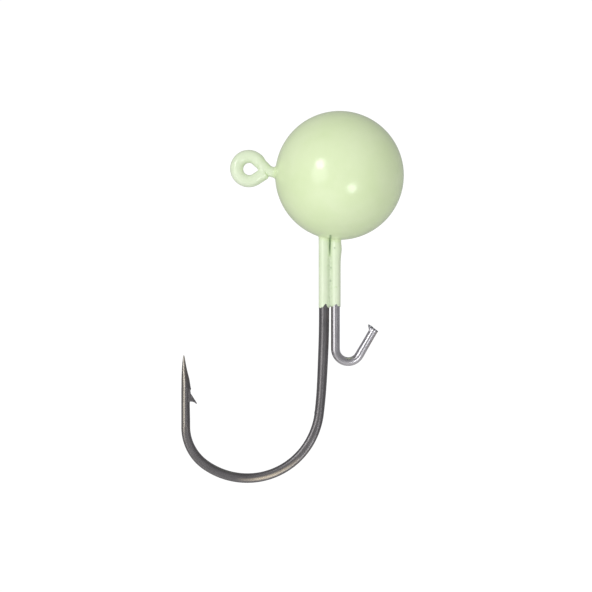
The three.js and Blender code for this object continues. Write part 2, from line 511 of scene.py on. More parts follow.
def wander(along):
    """How far the bend strays outwards from its round centreline."""
    return sum(far * bell(along, BEND_FROM + place, width) for far, place, width in STRAYS)


def forging(along):
    """How flat the wire has been pressed, from 0 to 1."""
    pressed = smoothstep(along, BEND_FROM + 9, BEND_FROM + 15)
    return pressed * (1 - smoothstep(along, LIMB_FROM - 2, LIMB_FROM + 2))


def point_field(points):
    height = points[:, 2] - POINT_ROOT[1]
    outer = np.interp(height, POINT_HEIGHTS, POINT_OUTER)
    inner = np.interp(height, POINT_HEIGHTS, POINT_INNER)
    across = points[:, 0] - POINT_ROOT[0] - (outer + inner) / 2
    side = np.hypot(across, points[:, 1]) - (inner - outer) / 2
    return rounded_overlap(side, height - POINT_HEIGHTS[-1], POINT_EDGE)


def barb_field(points):
    across = points[:, 0] - POINT_ROOT[0]
    outline = polygon(across, points[:, 2] - POINT_ROOT[1], BARB)
    reach = smoothstep(across, BARB[1][0], BARB[6][0])
    half = BARB_HALF_WIDTH + (BARB_TIP_HALF_WIDTH - BARB_HALF_WIDTH) * reach
    return rounded_overlap(outline, np.abs(points[:, 1]) - half, BARB_EDGE)


def shaved_limb(points):
    """Distance off the limb's axis, and how much thinner the limb is, where the barb was cut."""
    limb = HOOK[LIMB]
    below = POINT_ROOT[1] + BARB[-1][1] - points[:, 2]
    shaved = SHAVE_DEPTH * (1 - smoothstep(below, 0.0, SHAVE_LENGTH)) * (below > -SHAVE_ABOVE)
    across = points[:, 0] - limb.start[0] + shaved / 2
    return np.hypot(across, points[:, 1]), shaved / 2


def hook_field(points):
    value = np.full(len(points), np.inf)
    begin = 0.0
    for index, stretch in enumerate(HOOK[:POINT]):
        gap, along = stretch.nearest(points)
        along = along + begin
        begin += stretch.length
        if index in (LEAN, BEND, THROAT):
            outward = np.linalg.norm(points[:, [0, 2]] - stretch.centre, axis=1) - stretch.radius
            beside = np.abs(outward) > gap - 1e-6
            gap = np.where(beside, np.abs(outward - wander(along)), gap)
        pressed = forging(along)
        power = 2 + FORGED_SQUARENESS * pressed
        depth = np.abs(points[:, 1]) * (1 + FORGED_FLATNESS * pressed)
        across = (gap**power + depth**power) ** (1 / power)
        radius = hook_radius(along)
        if index == LIMB:
            off_axis, thinner = shaved_limb(points)
            across = np.where(points[:, 2] > stretch.start[1], off_axis, across)
            radius = radius - thinner
        tube = across - radius
        if index == EYE_END:
            tube = np.maximum(tube, stretch.behind(points))
        value = np.minimum(value, tube)
    off_root = points[:, [0, 2]] - POINT_ROOT
    top = (off_root[:, 1] > POINT_BOX_LOW) & (off_root[:, 0] < POINT_BOX_RIGHT)
    if top.any():
        above = off_root[top, 1]
        limb = np.where(above > 0, np.inf, value[top])
        point = np.where(above > -POINT_OVERLAP, point_field(points[top]), np.inf)
        value[top] = np.minimum(limb, point)
    barb = (np.abs(off_root - BARB_BOX_CENTRE) < BARB_BOX_HALF).all(1)
    if barb.any():
        value[barb] = smooth_union(value[barb], barb_field(points[barb]), BARB_BLEND)
    return value


def make_hook():
    margin = 0.3
    low = hook_low - margin
    high = hook_high + margin
    high[2] = max(high[2], EYE_RADIUS + HOOK_RADIUS + margin)
    vertices, quads, normals = field_surface(hook_field, low, high, HOOK_GRID)
    piece = make_mesh("hook_wire", vertices, quads, normals)
    along, across, side = wire_place(HOOK, vertices)
    add_values(piece, "wire_place", np.stack([across, side, along], -1))
    return piece


# ---- Bait keeper ----

KEEPER_GRID = 0.06

# The wire is a little fuller than in the CAD model, and its arm thins again towards the end.
KEEPER_SCALE = 1.01
ARM_THINNING = 0.04

# The sheared end of the arm: how far it leans and reaches past the CAD model's, how far it is
# mushroomed, and how deep and wide it is dished.
KEEPER_END_TILT = 6.5
KEEPER_END_REACH = 0.12
KEEPER_END_EDGE = 0.03
MUSHROOM = 0.03
DISH_DEPTH = 0.04
DISH_RADIUS = 0.2

# Outline of the burr that the shears left on the arm's end: along the arm from its end, and
# towards the shank.
BURR = [(0.05, 0.84), (0.09, 0.74), (0.06, 0.28), (-0.10, 0.05), (-0.55, 0.25), (-0.38, 0.46)]
BURR_HALF_WIDTH = 0.30
BURR_TAPER = 0.45
BURR_EDGE = 0.03
BURR_BLEND = 0.06


def keeper_field(points):
    value = np.full(len(points), np.inf)
    for stretch in KEEPER[:ARM]:
        value = np.minimum(value, stretch.distance(points) - KEEPER_RADIUS * KEEPER_SCALE)
    arm = KEEPER[ARM]
    ahead = np.array([math.cos(arm.heading), math.sin(arm.heading)])
    left = np.array([-ahead[1], ahead[0]])
    flat = points[:, [0, 2]] - arm.at(arm.length + KEEPER_END_REACH)[0]
    along, across = flat @ ahead, flat @ left
    off_axis = np.hypot(across, points[:, 1])
    scale = KEEPER_SCALE - ARM_THINNING * smoothstep(along, -KEEPER_ARM, -1.5)
    radius = KEEPER_RADIUS * scale + MUSHROOM * smoothstep(along, -0.35, 0.0)
    tilt = rad(KEEPER_END_TILT)
    dish = DISH_DEPTH * bell(off_axis, 0.0, DISH_RADIUS)
    cut = along * math.cos(tilt) - across * math.sin(tilt) + dish
    end = rounded_overlap(off_axis - radius, cut, KEEPER_END_EDGE)
    end = np.where(along < -KEEPER_ARM - KEEPER_END_REACH, np.inf, end)
    half_width = BURR_HALF_WIDTH * (1 - BURR_TAPER * smoothstep(across, 0.45, 0.8))
    beside = np.abs(points[:, 1]) - half_width
    burr = rounded_overlap(polygon(along, across, BURR), beside, BURR_EDGE)
    return np.minimum(value, smooth_union(end, burr, BURR_BLEND))


def make_keeper():
    margin = 0.35
    low = keeper_low - margin
    high = keeper_high + margin
    vertices, quads, normals = field_surface(keeper_field, low, high, KEEPER_GRID)
    piece = make_mesh("keeper_wire", vertices, quads, normals)
    along, across, side = wire_place(KEEPER, vertices)
    add_values(piece, "wire_place", np.stack([across, side, along], -1))
    return piece


# ---- Paint coat: a smooth liquid film round the ball, the eye, the neck and the two wires ----

FILM_GRID = 0.1

# The film's inner side is kept this far off the metal, and its thickness between two limits. It is
# left out where its outer side lies deep in the metal.
FILM_OFF_METAL = 0.012
FILM_THINNEST = 0.004
FILM_THICKEST = 0.5
BURIED_DEPTH = 0.05

# The film on the eye: its radius about the wire's centreline, how much fuller it is towards one
# bearing and leaner towards another, and how it rounds off over the wire's end.
EYE_FILM_RADIUS = 0.665
EYE_FILM_DRIFT = 0.035
EYE_FULL_BEARING = 130
EYE_LEAN_BEARING = 42
EYE_LEAN_DEPTH = 0.05
EYE_LEAN_WIDTH = 0.5
EYE_TAIL_THINNER = 0.03
EYE_TAIL_REACH = 0.12
EYE_TAIL_EDGE = 0.16
EYE_TAIL_BLEND = 0.04
NECK_FILM_RADIUS = 0.55
NECK_BLEND = 0.25
SHOULDER_FULLER = 0.03
SHOULDER_OFFSET = (0.045, 0.0, 0.04)

# Heights, scales and seeds of the uneven surfaces.
EYE_WAVES = (0.008, 1.6, 3)
SHANK_WAVES = (0.01, 1.1, 5)
KEEPER_WAVES = (0.01, 1.3, 8)
WEB_WAVES = (0.02, 6.0, 21)

# The painted strands: thickness of the film, height of its lower end, and the bearing and height of
# the notch in that end. A second, lower notch is at the back of both.
SHANK_FILM = 0.035
KEEPER_FILM = 0.08
SHANK_PAINT_END = -14.62
KEEPER_PAINT_END = -14.45
SHANK_NOTCH = (-1.27, 0.42)
KEEPER_NOTCH = (-1.35, 0.2)
NOTCH_WIDTH = 0.3
BACK_NOTCH_BEARING = 1.9
BACK_NOTCH_HEIGHT = 0.14
BACK_NOTCH_WIDTH = 0.35
STRAND_WAVE = 0.05
STRAND_RIPPLE = 0.03
STRAND_EDGE = 0.05

# A drop has set on the keeper's strand, on the side away from the shank.
DROP_THICKNESS = 0.08
DROP_HEIGHT = -8.4
DROP_LENGTH = 0.8

# The web of paint between the strands: thin in the crease at its top, and fuller below.
WIRES_MIDDLE = (SHANK_X + KEEPER_X) / 2
WEB_HALF_WIDTH = 0.3
WEB_HALF_DEPTH = 0.07
WEB_FULL_HALF_DEPTH = 0.25
WEB_FULL_FROM = -8.95
WEB_FULL_TO = -9.35
WEB_EDGE = 0.04
WEB_END_WAVE = 0.12
WEB_END_PITCH = 9.0
STRANDS_BLEND = 0.03
WEB_BLEND = 0.05
FULL_WEB_BLEND = 0.12

# Fillets where the eye's film and the strands meet the ball.
EYE_FILLET = 0.3
STRANDS_FILLET = 0.16

# Marks that the paint's material draws: painted shade in the crease between the strands, three
# pinholes, and painted shade along the web.
SEAM_X = SHANK_X + 0.62
SHADED_CREASE_TOP = BALL_CENTRE[2] - BALL_RADIUS + 0.45
SHADED_CREASE_FADE = 0.9
SHADED_CREASE_WIDTH = 0.08
PINHOLES = [(8.98, -8.32), (8.59, -10.39), (8.57, -11.78)]
PINHOLE_WIDTH = 0.08
PINHOLE_DARKNESS = 0.7
WEB_SHADE_WIDTH = 0.22


def eye_film(points):
    loop = HOOK[LOOP]
    bearing = np.arctan2(points[:, 2] - loop.centre[1], points[:, 0] - loop.centre[0])
    radius = EYE_FILM_RADIUS + EYE_FILM_DRIFT * np.cos(bearing - rad(EYE_FULL_BEARING))
    radius = radius - EYE_LEAN_DEPTH * bell(bearing, rad(EYE_LEAN_BEARING), EYE_LEAN_WIDTH)
    ring = loop.distance(points) - radius
    end = HOOK[EYE_END]
    ahead = np.array([math.cos(end.heading), math.sin(end.heading)])
    flat = points[:, [0, 2]] - end.start
    along = flat @ -ahead
    off_axis = np.hypot(flat @ np.array([-ahead[1], ahead[0]]), points[:, 1])
    side = off_axis - EYE_FILM_RADIUS + EYE_TAIL_THINNER
    tail = rounded_overlap(side, along - EYE_TAIL_REACH, EYE_TAIL_EDGE)
    tail = np.where(along < -end.length - 0.05, np.inf, tail)
    ring = smooth_union(ring, tail, EYE_TAIL_BLEND)
    shoulder = HOOK[SHOULDER].distance(points + SHOULDER_OFFSET)
    shoulder = shoulder - NECK_FILM_RADIUS - SHOULDER_FULLER
    neck = np.minimum(HOOK[NECK_BEND].distance(points), HOOK[NECK].distance(points))
    branch = smooth_union(shoulder, neck - NECK_FILM_RADIUS, NECK_BLEND)
    # The ring and the neck run into each other more at the top than at the bottom.
    blend = 0.15 + 0.2 * smoothstep(points[:, 2], -0.1, 0.5)
    return smooth_union(ring, branch, blend) - waves(points, *EYE_WAVES)


def strand_film(points, x, radius, end, notch, height):
    """A painted strand that ends in an uneven edge, with a notch of some height at one bearing."""
    bearing = np.arctan2(points[:, 1], points[:, 0] - x)
    edge = end + STRAND_WAVE * np.sin(bearing * 2 + notch)
    edge += STRAND_RIPPLE * np.sin(bearing * 5 + 2 * notch)
    edge += height * bell(bearing, notch, NOTCH_WIDTH)
    edge += BACK_NOTCH_HEIGHT * bell(bearing, BACK_NOTCH_BEARING, BACK_NOTCH_WIDTH)
    side = np.hypot(points[:, 0] - x, points[:, 1]) - radius
    return rounded_overlap(side, edge - points[:, 2], STRAND_EDGE)


def web_filled(z):
    """How full the web between the strands is at some heights, from 0 to 1."""
    return smoothstep(z, WEB_FULL_FROM, WEB_FULL_TO)


def strand_pair(points):
    z = points[:, 2]
    shank_radius = HOOK_RADIUS * SHANK_SCALE + SHANK_FILM + waves(points, *SHANK_WAVES)
    shank = strand_film(points, SHANK_X, shank_radius, SHANK_PAINT_END, *SHANK_NOTCH)
    drop = DROP_THICKNESS * bell(z, DROP_HEIGHT, DROP_LENGTH)
    keeper_radius = KEEPER_RADIUS + KEEPER_FILM + drop + waves(points, *KEEPER_WAVES)
    keeper_x = KEEPER_X + drop / 2
    keeper = strand_film(points, keeper_x, keeper_radius, KEEPER_PAINT_END, *KEEPER_NOTCH)
    filled = web_filled(z)
    half_depth = WEB_HALF_DEPTH + (WEB_FULL_HALF_DEPTH - WEB_HALF_DEPTH) * filled
    half_depth = half_depth + waves(points, *WEB_WAVES) * filled
    between = np.abs(points[:, 0] - WIRES_MIDDLE) - WEB_HALF_WIDTH
    below = KEEPER_PAINT_END + WEB_END_WAVE * np.sin(points[:, 0] * WEB_END_PITCH) - z
    web = rounded_overlap(np.abs(points[:, 1]) - half_depth, np.maximum(between, below), WEB_EDGE)
    pair = smooth_union(shank, keeper, STRANDS_BLEND + FULL_WEB_BLEND * filled)
    return smooth_union(pair, web, WEB_BLEND + FULL_WEB_BLEND * filled)


def film(points):
    """Signed distance to the paint's outer surface, in millimetres."""
    x, y, z = points.T
    value = np.linalg.norm(points - BALL_CENTRE, axis=1) - BALL_RADIUS
    near_eye = (x < BALL_CENTRE[0] - BALL_RADIUS + 1.5) & (np.abs(y) < 2.5) & (z > -3)
    if near_eye.any():
        value[near_eye] = smooth_union(value[near_eye], eye_film(points[near_eye]), EYE_FILLET)
    near_strands = (z < BALL_CENTRE[2] - 4.5) & (np.abs(x - WIRES_MIDDLE) < 2.6)
    near_strands &= np.abs(y) < 2.6
    if near_strands.any():
        pair = strand_pair(points[near_strands])
        value[near_strands] = smooth_union(value[near_strands], pair, STRANDS_FILLET)
    return value


def metal(points):
    """Signed distance to the nearest metal under the paint, in millimetres."""
    lead = np.linalg.norm(points - BALL_CENTRE, axis=1) - LEAD_RADIUS
    eye = np.min([stretch.distance(points) for stretch in HOOK[LOOP:SHANK]], axis=0)
    end = HOOK[EYE_END]
    eye_end = np.maximum(end.distance(points), end.behind(points) + HOOK_RADIUS)
    shank = HOOK[SHANK].distance(points) - HOOK_RADIUS * SHANK_SCALE
    wire = np.minimum(np.minimum(eye, eye_end) - HOOK_RADIUS, shank)
    leg = KEEPER[LEG].distance(points) - KEEPER_RADIUS * KEEPER_SCALE
    return np.minimum(np.minimum(lead, wire), leg)


def open_edges(quads):
    """Directed edges of the quads that no other quad shares."""
    one = quads.ravel()
    two = np.roll(quads, -1, axis=1).ravel()
    count = int(quads.max()) + 1
    forward = one * count + two
    backward = two * count + one
    alone = ~np.isin(forward, backward)
    return one[alone], two[alone]


def add_film_values(piece, points, depth):
    """Stores the film's depth over the metal, its painted shade in the crease and along the web
    together with its pinholes, and its distance off the ball.
    """
    x, y, z = points.T
    off_seam = np.abs(x - SEAM_X)
    # Painted shade: a darker green laid down the crease between the strands. The pinholes in the
    # same mask are real dark specks.
    crease = bell(off_seam, 0.0, SHADED_CREASE_WIDTH) * (z < SHADED_CREASE_TOP)
    crease *= 1 - smoothstep(z, WEB_FULL_FROM + SHADED_CREASE_FADE, WEB_FULL_TO)
    for hole_x, hole_z in PINHOLES:
        pinhole = bell(np.hypot(x - hole_x, z - hole_z), 0.0, PINHOLE_WIDTH) * (y < 0)
        crease = np.maximum(crease, PINHOLE_DARKNESS * pinhole)
    # Painted shade: a greyer, darker green laid along the groove of the web between the strands.
    web = bell(off_seam, 0.0, WEB_SHADE_WIDTH) * web_filled(z)
    add_values(piece, "film_state", np.stack([depth, crease, web], -1))
    off_ball = np.linalg.norm(points - BALL_CENTRE, axis=1) - BALL_RADIUS
    add_values(piece, "film_off_ball", off_ball)


def make_coat():
    margin = 0.35
    low = coat_low - margin
    high = coat_high + margin
    low[2] = SHANK_PAINT_END - margin
    outer, quads, normals = field_surface(film, low, high, FILM_GRID)
    # The film is open where the wires come out of it.
    depth = metal(outer)
    quads = quads[(depth[quads] > -BURIED_DEPTH).any(1)]
    used, quads = np.unique(quads, return_inverse=True)
    quads = quads.reshape(-1, 4)
    outer, normals, depth = outer[used], normals[used], depth[used]
    count = len(outer)
    thickness = np.clip(depth - FILM_OFF_METAL, FILM_THINNEST, FILM_THICKEST)
    points = np.concatenate([outer, outer - normals * thickness[:, None]])
    one, two = open_edges(quads)
    rims = np.stack([two, one, one + count, two + count], -1)
    faces = np.concatenate([quads, quads[:, ::-1] + count, rims])
    piece = make_mesh("glow_coat", points, faces, np.concatenate([normals, -normals]))
    add_film_values(piece, points, np.concatenate([depth, np.zeros(count)]))
    return piece


# ---- Materials ----

# Linear colours. The paint drifts between two greens on the ball and two paler ones on the wires,
# and has its own colours in specks and where it is thin, with painted shade in the crease and along
# the web.
PAINT_DEEP = (0.745, 0.885, 0.515)
PAINT_PALE = (0.795, 0.915, 0.58)
PAINT_ON_WIRE = (0.75, 0.865, 0.61)
PAINT_PALEST = (0.80, 0.89, 0.67)
PAINT_SPECK = (0.60, 0.76, 0.42)
PAINT_THIN = (0.36, 0.44, 0.34)
PAINT_SHADE_AND_PINHOLE = (0.20, 0.32, 0.17)
PAINT_WEB_SHADE = (0.56, 0.66, 0.46)
NICKEL_DARK = (0.205, 0.195, 0.20)
NICKEL_LIGHT = (0.265, 0.252, 0.255)
NICKEL_BROWN = (0.29, 0.255, 0.22)
# Painted highlights on the hook: a warm one along the bottom of the bend and a paler one on the
# limb.
NICKEL_PAINTED_HIGHLIGHT = (0.95, 0.82, 0.64)
NICKEL_LIMB_HIGHLIGHT = (0.50, 0.46, 0.40)
TIN_DARK = (0.58, 0.56, 0.59)
TIN_LIGHT = (0.72, 0.70, 0.72)
# Dark pits that also stand in for painted shade on one half of the keeper.
TIN_PIT_AND_SHADE = (0.20, 0.19, 0.22)
TIN_STAIN = (0.28, 0.19, 0.13)
SHEARED_STEEL = (0.17, 0.17, 0.18)
LEAD_DARK = (0.2, 0.21, 0.23)
LEAD_LIGHT = (0.36, 0.37, 0.39)
FLOOR_DARK = (0.90, 0.90, 0.90)
FLOOR_LIGHT = (0.94, 0.94, 0.94)

# Scale and detail of each noise, and for some of them how rough it is.
PAINT_CLOUD = (260.0, 3.0)
PAINT_GRAIN = (3000.0, 4.0)
PAINT_SPECKS = (1500.0, 2.0)
PAINT_PEEL = (700.0, 2.0)
NICKEL_CLOUD = (420.0, 3.0)
NICKEL_BROWNING = (190.0, 2.0)
NICKEL_DRAWN = (5.0, 4.0)
NICKEL_GRAIN = (6500.0, 4.0, 0.7)
TIN_DRAWN = (4.0, 4.0)
TIN_GRAIN = (6000.0, 4.0, 0.7)
TIN_PIT_AND_SHADE_SPECKS = (3600.0, 3.0)
TIN_PATCHES = (600.0, 2.0)
LEAD_DULLNESS = (700.0, 5.0)
FLOOR_TONE = (8.0, 2.0)

# How far the drawn marks of each wire are stretched along it.
NICKEL_STRETCH = 0.12
TIN_STRETCH = 0.15

# The smoothest and the roughest that each surface gets.
PAINT_ROUGHNESS = (0.15, 0.22)
NICKEL_ROUGHNESS = (0.34, 0.46)
TIN_ROUGHNESS = (0.27, 0.35)
LEAD_ROUGHNESS = (0.4, 0.65)
FLOOR_ROUGHNESS = 0.8
PAINT_IOR = 1.6
LEAD_METALLIC = 0.9

# Strength and distance in metres of each bump.
PEEL_BUMP = (0.05, 0.00003)
PAINT_BUMP = (0.04, 0.00001)
DRAWN_BUMP = (0.02, 0.00002)
METAL_BUMP = (0.015, 0.000008)
LEAD_BUMP = (0.3, 0.00003)

# Where a warm highlight is painted along the bottom of the hook's bend, in millimetres: how the
# streak rises and falls across the wire, and from where to where it runs. On the limb a paler
# painted highlight runs instead.
BEND_HIGHLIGHT_RISE = (-0.09, 0.10)
BEND_HIGHLIGHT_FALL = (0.33, 0.15)
BEND_HIGHLIGHT_FROM = 43.5
BEND_HIGHLIGHT_TO = 51.0
BEND_HIGHLIGHT_FADE = 2.5
LIMB_HIGHLIGHT_RISE = (0.0, 0.12)
LIMB_HIGHLIGHT_FALL = (0.36, 0.22)

# Heights in metres between which the keeper's stain appears.
STAIN_LOW = -0.0192
STAIN_HIGH = -0.0180


def new_material(name):
    material = bpy.data.materials.new(name)
    material.use_nodes = True
    tree = material.node_tree
    shader = tree.nodes["Principled BSDF"]
    return material, tree, shader


def noise(tree, coordinates, scale, detail, roughness=0.6):
    node = tree.nodes.new("ShaderNodeTexNoise")
    node.inputs["Scale"].default_value = scale
    node.inputs["Detail"].default_value = detail
    node.inputs["Roughness"].default_value = roughness
    tree.links.new(coordinates, node.inputs["Vector"])
    return node.outputs["Fac"]


def ramp(tree, value, stops):
    node = tree.nodes.new("ShaderNodeValToRGB")
    elements = node.color_ramp.elements
    while len(elements) < len(stops):
        elements.new(0.5)
    for element, (position, colour) in zip(elements, stops):
        element.position = position
        element.color = (*colour, 1.0)
    tree.links.new(value, node.inputs["Fac"])
    return node.outputs["Color"]


def drift(tree, value, dark, light):
    """A colour that drifts between two others as a noise does."""
    return ramp(tree, value, [(0.3, dark), (0.7, light)])


def remap(tree, value, low, high, to_low=0.0, to_high=1.0):
    node = tree.nodes.new("ShaderNodeMapRange")
    node.inputs["From Min"].default_value = low
    node.inputs["From Max"].default_value = high
    node.inputs["To Min"].default_value = to_low
    node.inputs["To Max"].default_value = to_high
    tree.links.new(value, node.inputs["Value"])
    return node.outputs["Result"]


def multiplied(tree, one, other):
    node = tree.nodes.new("ShaderNodeMath")
    node.operation = "MULTIPLY"
    tree.links.new(one, node.inputs[0])
    tree.links.new(other, node.inputs[1])
    return node.outputs["Value"]


def band(tree, value, rise, fall):
    """One where a value lies in a band, falling off to nought on both sides of it."""
    return multiplied(tree, remap(tree, value, *rise), remap(tree, value, *fall))


def scaled(tree, vector, scale):
    node = tree.nodes.new("ShaderNodeMapping")
    node.inputs["Scale"].default_value = scale
    tree.links.new(vector, node.inputs["Vector"])
    return node.outputs["Vector"]


def bump(tree, height, strength, distance, below=None):
    node = tree.nodes.new("ShaderNodeBump")
    node.inputs["Strength"].default_value = strength
    node.inputs["Distance"].default_value = distance
    tree.links.new(height, node.inputs["Height"])
    if below is not None:
        tree.links.new(below, node.inputs["Normal"])
    return node.outputs["Normal"]


def object_coordinates(tree):
    return tree.nodes.new("ShaderNodeTexCoord").outputs["Object"]


def stored(tree, name):
    """The values that a mesh carries under some name."""
    node = tree.nodes.new("ShaderNodeAttribute")
    node.attribute_name = name
    return node.outputs


def wire_coordinates(tree, stretch=1.0):
    """Coordinates that follow a wire: across it in millimetres, and along it slowed down."""
    return scaled(tree, stored(tree, "wire_place")["Vector"], (1.0, 1.0, stretch))


def mixed(tree, share, one, other):
    """One colour blended into another by a value from 0 to 1."""
    node = tree.nodes.new("ShaderNodeMix")
    node.data_type = "RGBA"
    tree.links.new(share, node.inputs["Factor"])
    for socket, colour in ((node.inputs[6], one), (node.inputs[7], other)):
        if isinstance(colour, tuple):
            socket.default_value = (*colour, 1.0)
        else:
            tree.links.new(colour, socket)
    return node.outputs[2]


def split_vector(tree, vector):
    node = tree.nodes.new("ShaderNodeSeparateXYZ")
    tree.links.new(vector, node.inputs["Vector"])
    return node.outputs


def finish_metal(tree, shader, colour, drawn, grain, roughness):
    """A bare metal with marks drawn along it and a fine grain."""
    tree.links.new(colour, shader.inputs["Base Color"])
    tree.links.new(remap(tree, drawn, 0.0, 1.0, *roughness), shader.inputs["Roughness"])
    shader.inputs["Metallic"].default_value = 1.0
    normal = bump(tree, drawn, *DRAWN_BUMP)
    tree.links.new(bump(tree, grain, *METAL_BUMP, normal), shader.inputs["Normal"])


def glow_paint():
    material, tree, shader = new_material("glow_paint")
    place = object_coordinates(tree)
    cloud = noise(tree, place, *PAINT_CLOUD)
    grain = noise(tree, place, *PAINT_GRAIN)
    state = split_vector(tree, stored(tree, "film_state")["Vector"])
    depth, crease, web = state["X"], state["Y"], state["Z"]
    on_wire = remap(tree, stored(tree, "film_off_ball")["Fac"], 0.0, 0.4)
    on_ball_colour = drift(tree, cloud, PAINT_DEEP, PAINT_PALE)
    on_wire_colour = drift(tree, cloud, PAINT_ON_WIRE, PAINT_PALEST)
    colour = mixed(tree, on_wire, on_ball_colour, on_wire_colour)
    speck = remap(tree, noise(tree, place, *PAINT_SPECKS), 0.66, 0.74, 0.0, 0.5)
    colour = mixed(tree, multiplied(tree, speck, on_wire), colour, PAINT_SPECK)
    # Painted shade along the web's groove, broken up by the grain.
    web_shade = multiplied(tree, web, remap(tree, grain, 0.35, 0.6, 0.35, 1.0))
    colour = mixed(tree, web_shade, colour, PAINT_WEB_SHADE)
    # Painted shade in the crease between the strands, together with the dark pinholes.
    colour = mixed(tree, crease, colour, PAINT_SHADE_AND_PINHOLE)
    thin = remap(tree, depth, 0.0, 0.02, 1.0, 0.0)
    tree.links.new(mixed(tree, thin, colour, PAINT_THIN), shader.inputs["Base Color"])
    roughness = remap(tree, grain, 0.0, 1.0, *PAINT_ROUGHNESS)
    tree.links.new(roughness, shader.inputs["Roughness"])
    shader.inputs["IOR"].default_value = PAINT_IOR
    normal = bump(tree, noise(tree, place, *PAINT_PEEL), *PEEL_BUMP)
    tree.links.new(bump(tree, grain, *PAINT_BUMP, normal), shader.inputs["Normal"])
    return material


def black_nickel():
    """The hook's dark plating: cloudy, faintly drawn along the wire, browner in places, with
    painted highlights on the bend and the limb.
    """
    material, tree, shader = new_material("black_nickel")
    place = object_coordinates(tree)
    drawn = noise(tree, wire_coordinates(tree, NICKEL_STRETCH), *NICKEL_DRAWN)
    cloud = noise(tree, place, *NICKEL_CLOUD)
    grain = noise(tree, place, *NICKEL_GRAIN)
    colour = drift(tree, cloud, NICKEL_DARK, NICKEL_LIGHT)
    brown = remap(tree, noise(tree, place, *NICKEL_BROWNING), 0.5, 0.68)
    colour = mixed(tree, brown, colour, NICKEL_BROWN)
    # A warm highlight is painted along a streak at the bottom of the bend.
    spot = split_vector(tree, wire_coordinates(tree))
    across, along = spot["X"], spot["Z"]
    streak = band(tree, across, BEND_HIGHLIGHT_RISE, BEND_HIGHLIGHT_FALL)
    reach = band(tree, along, (BEND_HIGHLIGHT_FROM, BEND_HIGHLIGHT_FROM + BEND_HIGHLIGHT_FADE), (BEND_HIGHLIGHT_TO, BEND_HIGHLIGHT_TO - BEND_HIGHLIGHT_FADE))
    patchy = remap(tree, cloud, 0.3, 0.55, 0.6, 1.0)
    bend_highlight = multiplied(tree, multiplied(tree, streak, reach), patchy)
    colour = mixed(tree, bend_highlight, colour, NICKEL_PAINTED_HIGHLIGHT)
    # A paler highlight is painted along the outer side of the limb.
    outer = band(tree, across, LIMB_HIGHLIGHT_RISE, LIMB_HIGHLIGHT_FALL)
    on_limb = remap(tree, along, LIMB_FROM - 1.5, LIMB_FROM + 1.0)
    colour = mixed(tree, multiplied(tree, outer, on_limb), colour, NICKEL_LIMB_HIGHLIGHT)
    finish_metal(tree, shader, colour, drawn, grain, NICKEL_ROUGHNESS)
    return material


def bright_wire():
    """The bait keeper's tinned wire: bright, with dark pits laid on one half of it as partly
    painted shade, and a brown stain down one side.
    """
    material, tree, shader = new_material("bright_wire")
    place = object_coordinates(tree)
    drawn = noise(tree, wire_coordinates(tree, TIN_STRETCH), *TIN_DRAWN)
    grain = noise(tree, place, *TIN_GRAIN)
    patchy = remap(tree, noise(tree, place, *TIN_PATCHES), 0.35, 0.6)
    spot = split_vector(tree, wire_coordinates(tree))
    across, along = spot["X"], spot["Z"]
    colour = drift(tree, drawn, TIN_DARK, TIN_LIGHT)
    # Dark pits laid on one half of the wire only: partly real pits, partly painted shade on that
    # half.
    pits_and_shade = remap(tree, noise(tree, place, *TIN_PIT_AND_SHADE_SPECKS), 0.56, 0.66)
    pits_and_shade = multiplied(tree, pits_and_shade, remap(tree, across, 0.05, 0.25))
    colour = mixed(tree, multiplied(tree, pits_and_shade, patchy), colour, TIN_PIT_AND_SHADE)
    height = split_vector(tree, place)["Z"]
    stain = remap(tree, across, -0.30, -0.42)
    stain = multiplied(tree, stain, remap(tree, height, STAIN_LOW, STAIN_HIGH))
    colour = mixed(tree, multiplied(tree, stain, patchy), colour, TIN_STAIN)
    # The shears left the burr and the end of the arm dull.
    burr = remap(tree, across, 0.44, 0.52)
    colour = mixed(tree, burr, colour, SHEARED_STEEL)
    total = run_length(KEEPER)
    end = remap(tree, along, total - 0.10, total - 0.02)
    colour = mixed(tree, end, colour, SHEARED_STEEL)
    finish_metal(tree, shader, colour, drawn, grain, TIN_ROUGHNESS)
    return material


def cast_lead():
    material, tree, shader = new_material("cast_lead")
    dull = noise(tree, object_coordinates(tree), *LEAD_DULLNESS)
    tree.links.new(drift(tree, dull, LEAD_DARK, LEAD_LIGHT), shader.inputs["Base Color"])
    tree.links.new(remap(tree, dull, 0.0, 1.0, *LEAD_ROUGHNESS), shader.inputs["Roughness"])
    shader.inputs["Metallic"].default_value = LEAD_METALLIC
    tree.links.new(bump(tree, dull, *LEAD_BUMP), shader.inputs["Normal"])
    return material


# ---- Pieces ----

hook = make_hook()
hook.data.materials.append(black_nickel())
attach(hook, "root")
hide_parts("hook")

keeper = make_keeper()
keeper.data.materials.append(bright_wire())
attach(keeper, "root")
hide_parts("bait_keeper")

coat = make_coat()
coat.data.materials.append(glow_paint())
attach(coat, "root")
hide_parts("paint_coat")

lead_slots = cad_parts["lead_ball"].data.materials
lead_slots.clear()
lead_slots.append(cast_lead())

# ---- Studio ----

VIEW_WIDTH = 0.06216
LENS = 100.0
SENSOR = 36.0
CLIP = (0.01, 10.0)

# How far the camera stands to the right of the model's middle and above it.
FRAMING = (0.000384, 0.00011)

FLOOR_DEPTH = 0.3
FLOOR_HALF_SIZE = 0.6

# Brightness of the surroundings, from in front of the object to behind it: as light that falls on
# it, and as what its shiny surfaces mirror. The camera itself sees them as white.
SOFT_SURROUND = [
    (0.0, (0.55, 0.55, 0.555)),
    (0.5, (0.47, 0.47, 0.47)),
    (1.0, (0.35, 0.35, 0.35)),
]
MIRRORED_SURROUND = [
    (0.0, (0.28, 0.28, 0.29)),
    (0.45, (0.28, 0.28, 0.29)),
    (0.75, (0.38, 0.38, 0.40)),
]
BACKDROP_STRENGTH = 1.05

